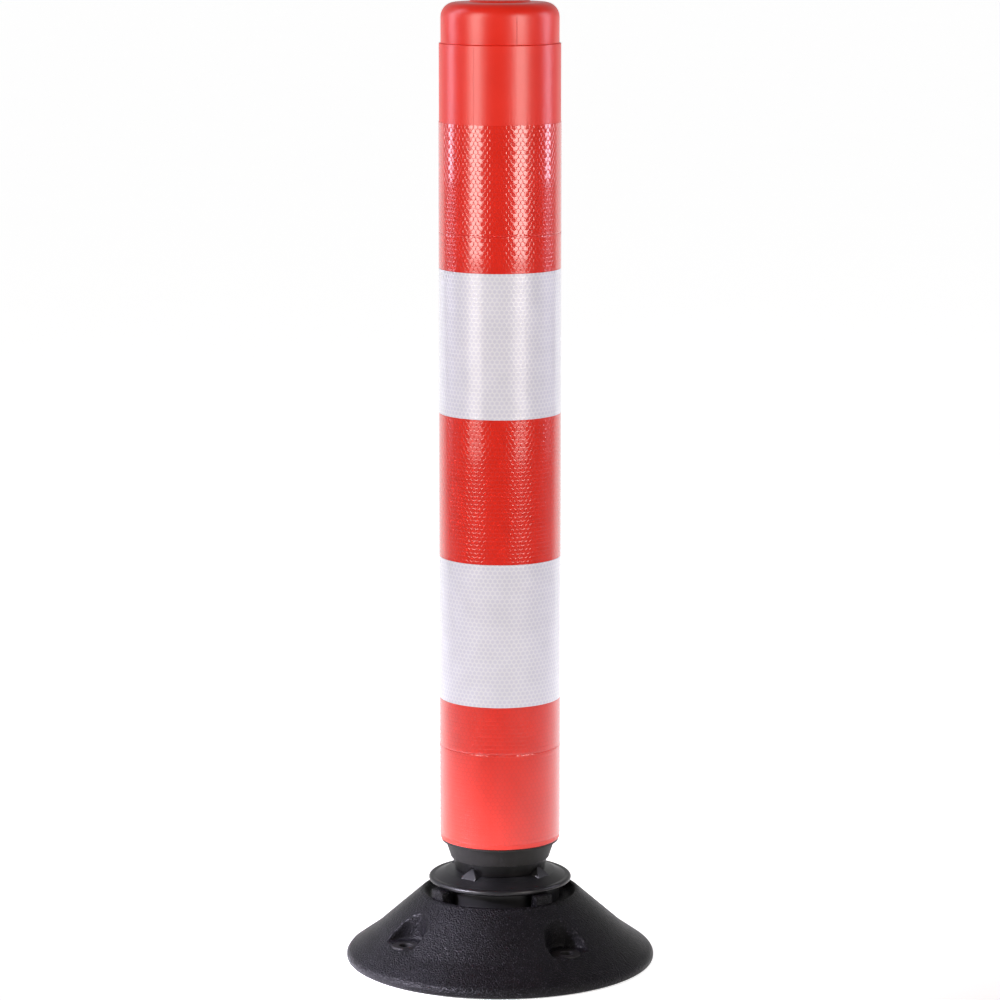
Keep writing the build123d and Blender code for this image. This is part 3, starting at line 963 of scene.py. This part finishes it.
# Cable stud. A steel socket swaged on the cable, drawn out into an M12 thread. The thread
# is a small triangle screwed up the shank at the real pitch.
stud_low, stud_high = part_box("cable_stud")
socket_top = stud_high.z - 0.052
thread_pitch = 0.00175
shank = 0.0060 - 0.0009
stud = turn("cable_stud_steel", [
    (0, stud_high.z, 0),
    (shank - 0.0012, stud_high.z, 0.0003),
    (shank, stud_high.z - 0.0012, 0.0003),
    (shank, socket_top + 0.001, 0.0006),
    (stud_high.x - 0.0014, socket_top, 0.001),
    (stud_high.x, socket_top - 0.004, 0.001),
    (stud_high.x, stud_low.z, 0.0006),
    (0.0041, stud_low.z, 0.0004),
    (0.0041, socket_top - 0.006, 0),
    (0, socket_top - 0.006, 0),
], facets=48)
thread_turns = 26
bpy.ops.object.select_all(action="DESELECT")
bpy.ops.mesh.primitive_circle_add(
    vertices=3, radius=0.0009, location=(shank + 0.00035, 0, socket_top + 0.0028),
    rotation=(math.pi / 2, math.pi / 2, 0),
)
thread = bpy.context.object
bpy.ops.object.transform_apply(location=True, rotation=True)
add(
    thread, "SCREW", angle=2 * math.pi * thread_turns, screw_offset=thread_pitch * thread_turns,
    steps=thread_turns * 24, render_steps=thread_turns * 24, use_merge_vertices=False,
)
pick(thread)
bpy.ops.object.mode_set(mode="EDIT")
bpy.ops.mesh.select_all(action="SELECT")
bpy.ops.mesh.fill_holes(sides=0)
bpy.ops.mesh.normals_make_consistent(inside=False)
bpy.ops.object.mode_set(mode="OBJECT")
pick(stud)
thread.select_set(True)
bpy.ops.object.join()
dress(stud, zinc, "tensioner")
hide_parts("cable_stud")


# End cap. Red moulding, a little glossier than the tube: round shoulder, low disc on top,
# plug inside the tube and the two fine parting lines that the mould leaves down its sides.
cap_low, cap_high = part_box("end_cap")
cap_radius = cap_high.x
cap_top = cap_high.z - 0.002
cap_foot = tube_high.z
cap_plug = 0.0464
shoulder = 0.012
arc = [
    (cap_radius - shoulder + shoulder * math.cos(a), cap_top - shoulder + shoulder * math.sin(a), 0)
    for a in (math.radians(9 * k) for k in range(11))
]
inner_arc = [
    (cap_plug - 0.003 - 0.009 + 0.009 * math.cos(a), cap_top - 0.012 + 0.009 * math.sin(a), 0)
    for a in (math.radians(90 - 15 * k) for k in range(7))
]
cap = turn("end_cap_moulding", [
    (0, cap_top - 0.003, 0),
    *inner_arc,
    (cap_plug - 0.003, cap_low.z, 0.0006),
    (cap_plug, cap_low.z, 0.001),
    (cap_plug, cap_foot + 0.0001, 0),
    (cap_radius, cap_foot + 0.0001, 0.0004),
    *arc,
    (0.0262, cap_top + 0.0001, 0.0008),
    (0.0240, cap_high.z - 0.0003, 0.0016),
    (0.0120, cap_high.z, 0.004),
    (0, cap_high.z, 0),
], facets=192)
parting = math.radians(7)
line_tool = bar(
    "line_tool",
    (cap_radius - 0.0006, -0.0004, cap_foot - 0.001),
    (cap_radius + 0.001, 0.0004, cap_top - 0.006),
)
for tool in round_about(line_tool, 2, parting - math.radians(90)):
    join_solid(cap, tool, "DIFFERENCE")

cap_red, shader, place = finish("red_moulding", Specular_IOR_Level=0.85)
swirl = place.noise(22, 4, 0.6)
orange_peel = place.noise(420, 2, 0.5)
feed(
    shader,
    Base_Color=swirl.ramp((0.3, (0.82, 0.020, 0.006)), (0.7, (0.88, 0.025, 0.010))),
    Roughness=0.29 + swirl * 0.09,
    Bump=(orange_peel, 0.00004),
)
dress(cap, cap_red, "post", smooth=25)
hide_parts("end_cap")


# Studio. A wide pale floor that glows a little behind the object, so that it stays even out
# of the lamps' reach, and is duller in front, a surround that is brighter behind, four tall
# soft boxes, each with a weaker one below it, and a small spot on the base.
view_turn = math.radians(-9)
bpy.ops.object.select_all(action="DESELECT")
bpy.ops.mesh.primitive_plane_add(size=160, location=(0, 0, -0.0003))
floor = bpy.context.object
floor.name = "floor"
pale, shader, place = finish("pale_floor", Roughness=0.8, Specular_IOR_Level=0.2, Emission_Strength=0.85)
facing = place.node("ShaderNodeMapping", {}, {"Vector": place, "Rotation": (0, 0, -view_turn)})
across = facing.node("ShaderNodeSeparateXYZ", {}, {0: facing}, output=0)
along = facing.node("ShaderNodeSeparateXYZ", {}, {0: facing}, output=1)
behind = along - across.math("ABSOLUTE", across, 0.0) * 0.9
board = behind.node("ShaderNodeMapRange", {}, {"Value": behind, "From Min": -0.95, "From Max": 0.0})
sweep = along.node("ShaderNodeMapRange", {}, {"Value": along, "From Min": -0.60, "From Max": -0.16})
mottled = place.noise(3, 2, 0.5).ramp((0.3, (0.89, 0.89, 0.89)), (0.7, (0.91, 0.91, 0.91)))
feed(
    shader,
    Base_Color=sweep.blend((0.30, 0.30, 0.30, 1), mottled),
    Emission_Color=board.ramp((0.0, 0.0), (1.0, 1.0)),
)
floor.data.materials.append(pale)

world = bpy.data.worlds.new("studio")
bpy.context.scene.world = world
world.use_nodes = True
tree = world.node_tree
background = tree.nodes["Background"]
direction = Tap(tree, tree.nodes.new("ShaderNodeTexCoord").outputs["Generated"])
depth = direction.node("ShaderNodeSeparateXYZ", {}, {0: direction}, output=1)
height = direction.node("ShaderNodeSeparateXYZ", {}, {0: direction}, output=2)
glow = depth.node(
    "ShaderNodeMapRange", {},
    {"Value": depth, "From Min": 0.0, "From Max": 0.8, "To Min": 0.16, "To Max": 0.60},
)
dusk = height.node(
    "ShaderNodeMapRange", {},
    {"Value": height, "From Min": 0.1, "From Max": 0.75, "To Min": 1.0, "To Max": 0.35},
)
strength = glow * dusk
tree.links.new(strength.socket, background.inputs["Strength"])
background.inputs["Color"].default_value = (1, 1, 1, 1)

lamp_distance = 1.5
warm, cool = (1.0, 0.93, 0.88), (0.86, 0.82, 1.0)
soft_boxes = [
    ("front_left", -47, 0.60, 5.6, warm, 0.20, 0.44, 1.95, 0.22),
    ("front_right", 39, 0.60, 5.8, warm, 0.20, 0.44, 1.60, 0.20),
    ("side_left", -104, 0.30, 6.2, cool, 0.20, 0.53, 2.30, 0.05),
    ("side_right", 101, 0.32, 6.0, cool, 0.20, 0.53, 1.50, 0.05),
]
for name, azimuth, width, radiance, tint, foot, waist, head, share in soft_boxes:
    for row, bottom, top, strength in (("upper", waist, head, 1.0), ("lower", foot, waist, share)):
        light = bpy.data.lights.new(f"{name}_{row}", "AREA")
        light.shape = "RECTANGLE"
        light.size = width
        light.size_y = top - bottom
        light.energy = strength * radiance * math.pi * width * (top - bottom)
        light.color = tint
        lamp = bpy.data.objects.new(light.name, light)
        lamp_turn = math.radians(azimuth) + view_turn
        lamp.location = (
            lamp_distance * math.sin(lamp_turn), -lamp_distance * math.cos(lamp_turn), (bottom + top) / 2
        )
        lamp.rotation_euler = (math.pi / 2, 0, lamp_turn)
        bpy.context.scene.collection.objects.link(lamp)
spot_distance = 1.15
spot_height = 0.62
spot = bpy.data.lights.new("base_spot", "SPOT")
spot.energy = 380
spot.color = cool
spot.shadow_soft_size = 0.10
spot.spot_size = math.radians(11.5)
spot.spot_blend = 0.6
lamp = bpy.data.objects.new(spot.name, spot)
lamp_turn = math.radians(-62) + view_turn
lamp.location = (spot_distance * math.sin(lamp_turn), -spot_distance * math.cos(lamp_turn), spot_height)
lamp.rotation_euler = (math.atan2(spot_distance - 0.08, spot_height + 0.02), 0, lamp_turn)
bpy.context.scene.collection.objects.link(lamp)

camera_data = bpy.data.cameras.new("camera")
camera_data.lens = 143
camera_data.sensor_width = 36
camera = bpy.data.objects.new("camera", camera_data)
camera_distance = 3.254
camera_height = 0.944
camera_dip = 9.63
camera.location = (
    camera_distance * math.sin(view_turn), -camera_distance * math.cos(view_turn), camera_height
)
camera.rotation_euler = (math.radians(90 - camera_dip), 0, view_turn)
bpy.context.scene.collection.objects.link(camera)
bpy.context.scene.camera = camera
bpy.context.scene.view_settings.view_transform = "Standard"
